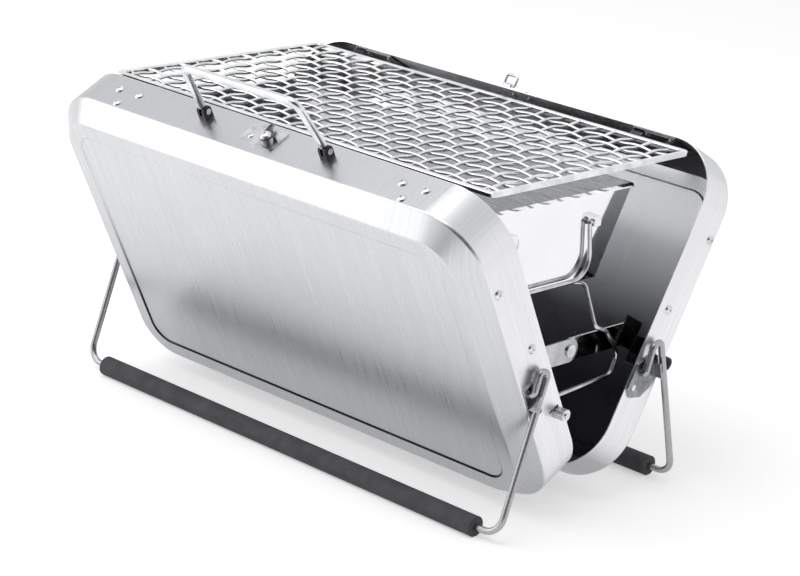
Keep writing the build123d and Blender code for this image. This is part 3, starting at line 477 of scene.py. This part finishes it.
# %% Give each solid its finish
finish_of = {
    "front_shell": front_sheet,
    "rear_shell": rear_sheet,
    "front_wall_rivets": rivet_steel,
    "rear_wall_rivets": rivet_steel,
    "front_rest_rivets": rivet_steel,
    "rear_rest_rivets": rivet_steel,
    "front_hinge_rivets": rivet_steel,
    "rear_hinge_rivets": rivet_steel,
    "front_bracket_rivets": rivet_steel,
    "rear_bracket_rivets": rivet_steel,
    "stay_middle_rivets": rivet_steel,
    "latch_rivets": rivet_steel,
    "catch_rivets": lever_steel,
    "front_hinge_leaves": hinge_sheet,
    "rear_hinge_leaves": hinge_sheet,
    "hinge_pins": cradle_wire,
    "front_grid_rests": plated_bracket,
    "rear_grid_rests": painted_shade_bracket,
    "front_stand_wire": stand_satin,
    "rear_stand_wire": stand_satin,
    "front_foot_sleeve": foam_black,
    "rear_foot_sleeve": foam_black,
    "front_stand_brackets": worn_bracket,
    "rear_stand_brackets": worn_bracket,
    "front_stay_brackets": plated_bracket,
    "rear_stay_brackets": painted_shade_bracket,
    "front_stay_links": stay_polish,
    "rear_stay_links": stay_polish,
    "handle_bar": handle_polish,
    "handle_mounts": nylon_black,
    "handle_pins": rivet_steel,
    "latch_plate": plated_bracket,
    "latch_lever": lever_steel,
    "catch_plate": plated_bracket,
    "catch_loop": cradle_wire,
    "grid_frame": grid_chrome,
    "grid_mesh": grid_chrome,
    "charcoal_tray": tray_polish,
    "bail_clips": clip_polish,
    "right_tray_bail": cradle_wire,
    "left_tray_bail": cradle_wire,
    "tray_cradle": cradle_wire,
    "cradle_knobs": rivet_steel,
    "rear_bumpers": rubber_black,
}
for node_name, node_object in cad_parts.items():
    finish = finish_of[node_name]
    if not node_object.material_slots:
        node_object.data.materials.append(finish)
    for place in node_object.material_slots:
        place.material = finish
print("solids dressed:", len(finish_of))

# %% [markdown]
# ## The woven grid
# The cooking surface is crimped wire cloth: straight wires are pressed into a wave, so
# that each one passes over and under its neighbours, and then chrome plated. The solid
# is a flat plate with holes, which can't show that weave. Here each wire is a thin
# curve that rises and dips at every crossing, half of them in the opposite beat, as on
# a loom. A curve with a round bevel is the natural tool, because it is how wire is.

# %% Weave the grid
WIRE_RADIUS = 1.25 * MM
WAVE_RISE = 0.8 * MM
FIRST_WIRE = (-177.84 * MM, -89.65 * MM)
WIRE_PITCH = (16.76 * MM, 16.5 * MM)
WIRE_COUNT = (22, 12)
POINTS_PER_CELL = 6

low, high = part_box("grid_mesh")
cloth_z = (low.z + high.z) / 2
weave = bpy.data.curves.new("woven_wire", "CURVE")
weave.dimensions = "3D"
weave.bevel_depth = WIRE_RADIUS
weave.bevel_resolution = 2


def wave_wire(run_axis, fixed, beat):
    start, end = low[run_axis], high[run_axis]
    step = WIRE_PITCH[run_axis] / POINTS_PER_CELL
    count = int((end - start) / step)
    spline = weave.splines.new("POLY")
    spline.points.add(count)
    for index in range(count + 1):
        along = start + (end - start) * index / count
        turn = math.pi * (along - FIRST_WIRE[run_axis]) / WIRE_PITCH[run_axis]
        point = [fixed, fixed, cloth_z + beat * WAVE_RISE * math.cos(turn), 1.0]
        point[run_axis] = along
        spline.points[index].co = point
    spline.use_smooth = True


for run_axis, across_axis, first_beat in ((0, 1, 1), (1, 0, -1)):
    for number in range(WIRE_COUNT[across_axis]):
        place = FIRST_WIRE[across_axis] + number * WIRE_PITCH[across_axis]
        wave_wire(run_axis, place, first_beat if number % 2 else -first_beat)
woven = bpy.data.objects.new("woven_grid_wires", weave)
bpy.context.scene.collection.objects.link(woven)
weave.materials.append(grid_chrome)
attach(woven, "grid")
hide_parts("grid_mesh")
print("wires woven:", len(weave.splines))

# %% [markdown]
# ## The studio
# The grill was shot on white with broad, soft lamps. Here a pale floor catches the
# shadow, and the world is white where the camera and the metal look at it. Bright metal
# only shows what is around it. A studio is dark where the photographer stands, and that
# dark patch is what gives every polished wire and rivet its dark core between two
# bright edges, so the world is dimmed around the camera, for reflections only. A low
# softbox at the front left is what the top bevel mirrors.

# %% Floor, world and lamps
FLOOR_HALF = 6.0
FLOOR_LIFT = 0.42
DARK_ROOM = 0.12
DARK_FROM = 0.93
DARK_TO = 0.55
ROOM_FILL = 0.50

mesh = bpy.data.meshes.new("floor")
signs = [(-1, -1), (1, -1), (1, 1), (-1, 1)]
mesh.from_pydata([(x * FLOOR_HALF, y * FLOOR_HALF, 0.0) for x, y in signs], [], [(0, 1, 2, 3)])
floor = bpy.data.objects.new("floor", mesh)
bpy.context.scene.collection.objects.link(floor)

floor_finish, tree, shader = start_finish("white_paper_floor", Roughness=0.9)
shader.inputs["Base Color"].default_value = linear("#F2F2F2")
seen = add(tree, "ShaderNodeLightPath")
looked_at = add(tree, "ShaderNodeMath", {
    0: seen.outputs["Is Camera Ray"],
    1: seen.outputs["Is Glossy Ray"],
}, operation="MAXIMUM").outputs[0]
lift = add(tree, "ShaderNodeMath", {0: looked_at, 1: FLOOR_LIFT}, operation="MULTIPLY").outputs[0]
shader.inputs["Emission Color"].default_value = linear("#FFFFFF")
tree.links.new(lift, shader.inputs["Emission Strength"])
mesh.materials.append(floor_finish)

world = bpy.data.worlds.new("studio")
bpy.context.scene.world = world
world.use_nodes = True
sky = world.node_tree
seen = add(sky, "ShaderNodeLightPath")
plain_white = add(sky, "ShaderNodeMath", {
    0: seen.outputs["Is Camera Ray"],
    1: seen.outputs["Is Transmission Ray"],
}, operation="MAXIMUM").outputs[0]
way = add(sky, "ShaderNodeTexCoord").outputs["Generated"]
toward_camera = add(sky, "ShaderNodeVectorMath", {
    0: way,
    1: tuple(backward),
}, operation="DOT_PRODUCT").outputs["Value"]
mirrored = add(sky, "ShaderNodeMapRange", {
    "Value": toward_camera,
    "From Min": DARK_TO,
    "From Max": DARK_FROM,
    "To Min": 1.0,
    "To Max": DARK_ROOM,
}, interpolation_type="SMOOTHSTEP").outputs["Result"]
level = add(sky, "ShaderNodeMix", {
    0: seen.outputs["Is Glossy Ray"], 2: ROOM_FILL, 3: mirrored,
}).outputs[0]
level = add(sky, "ShaderNodeMix", {0: plain_white, 2: level, 3: 1.0}).outputs[0]
background = sky.nodes["Background"]
background.inputs["Color"].default_value = linear("#FFFFFF")
sky.links.new(level, background.inputs["Strength"])


def softbox(name, where, size, watts):
    lamp = bpy.data.lights.new(name, "AREA")
    lamp.shape = "RECTANGLE"
    lamp.size, lamp.size_y = size
    lamp.energy = watts
    holder = bpy.data.objects.new(name, lamp)
    holder.location = where
    holder.rotation_euler = (LOOK_AT - Vector(where)).to_track_quat("-Z", "Y").to_euler()
    bpy.context.scene.collection.objects.link(holder)


SOFTBOXES = (
    ("overhead_softbox", (-0.3, -0.6, 1.9), (1.8, 1.4), 14.0),
    ("side_softbox", (-1.8, -1.2, 1.0), (1.0, 1.4), 6.0),
    ("low_softbox", (-1.6, -1.95, 0.55), (1.5, 0.8), 2.6),
)
for lamp_name, place, lamp_size, lamp_watts in SOFTBOXES:
    softbox(lamp_name, place, lamp_size, lamp_watts)
print("studio lit")
